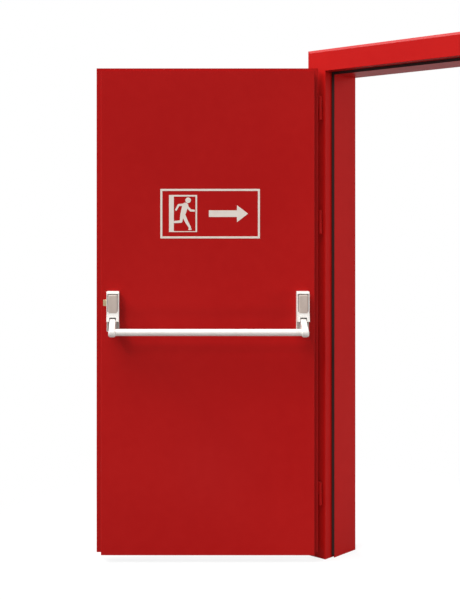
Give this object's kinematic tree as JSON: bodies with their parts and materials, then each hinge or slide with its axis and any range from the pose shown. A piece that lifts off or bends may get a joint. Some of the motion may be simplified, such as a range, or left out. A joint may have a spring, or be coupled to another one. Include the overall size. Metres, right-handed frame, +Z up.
{
  "type": "single-leaf steel fire door with push bar",
  "caption": "Rebated steel fire door leaf standing open in its folded steel frame, with barrel hinges, rubber seals and a push bar that draws the latch bolt.",
  "frame": {"origin": "foot of the hinge jamb, on its flat wall side, half way through the frame's depth", "axes": "+X from the hinge jamb to the latch jamb, +Y from the pull side to the push side, +Z up"},
  "size_m": [1.7357, 0.9694, 2.186],
  "materials": {
    "frame_paint": "satin red paint",
    "leaf_paint": "satin red paint",
    "hinge_paint": "satin red paint",
    "pin_steel": "ground",
    "seal_rubber": "matte black",
    "strike_steel": "zinc plated",
    "core_board": "mineral board, hidden",
    "rail_steel": "galvanised",
    "housing_paint": "light grey paint",
    "bar_paint": "off-white paint",
    "bolt_brass": "polished"
  },
  "bodies": {
    "frame": {"hinge_jamb_front": "frame_paint", "hinge_jamb_rear": "frame_paint", "latch_jamb_front": "frame_paint", "latch_jamb_rear": "frame_paint", "head_front": "frame_paint", "head_rear": "frame_paint", "hinge_jamb_seal": "seal_rubber", "latch_jamb_seal": "seal_rubber", "head_seal": "seal_rubber", "latch_strike": "strike_steel", "upper_hinge_frame_barrel": "hinge_paint", "middle_hinge_frame_barrel": "hinge_paint", "lower_hinge_frame_barrel": "hinge_paint", "upper_hinge_pin": "pin_steel", "middle_hinge_pin": "pin_steel", "lower_hinge_pin": "pin_steel"},
    "leaf": {"leaf_pull_skin": "leaf_paint", "leaf_push_skin": "leaf_paint", "leaf_core": "core_board", "leaf_foot_rail": "rail_steel", "upper_hinge_leaf_barrel": "hinge_paint", "middle_hinge_leaf_barrel": "hinge_paint", "lower_hinge_leaf_barrel": "hinge_paint", "hinge_side_housing": "housing_paint", "hinge_side_cover": "housing_paint", "hinge_side_pivot_pin": "pin_steel", "latch_side_housing": "housing_paint", "latch_side_cover": "housing_paint", "latch_side_pivot_pin": "pin_steel"},
    "push_bar": {"push_bar": "bar_paint", "hinge_side_arm": "bar_paint", "latch_side_arm": "bar_paint"},
    "latch": {"latch_bolt": "bolt_brass"}
  },
  "joints": [
    {"name": "leaf_hinge", "type": "hinge", "parent": "frame", "child": "leaf", "pos_m": [0.076, -0.12, 1], "axis": [0, 0, 1], "range_deg": [-38.9, 136.1]},
    {"name": "bar_push", "type": "hinge", "parent": "leaf", "child": "push_bar", "pos_m": [-0.21897, -0.50933, 1.038], "axis": [0.7206, 0.6934, 0], "range_deg": [0, 25], "stiffness_Nm_per_rad": 4, "springref_deg": -40.11},
    {"name": "latch_slide", "type": "slide", "parent": "leaf", "child": "latch", "axis": [-0.7206, -0.6934, 0], "range_m": [-0.014, 0]}
  ],
  "couplings": [
    {"joint": "latch_slide", "follows": "bar_push", "m_per_rad": -0.03208}
  ]
}
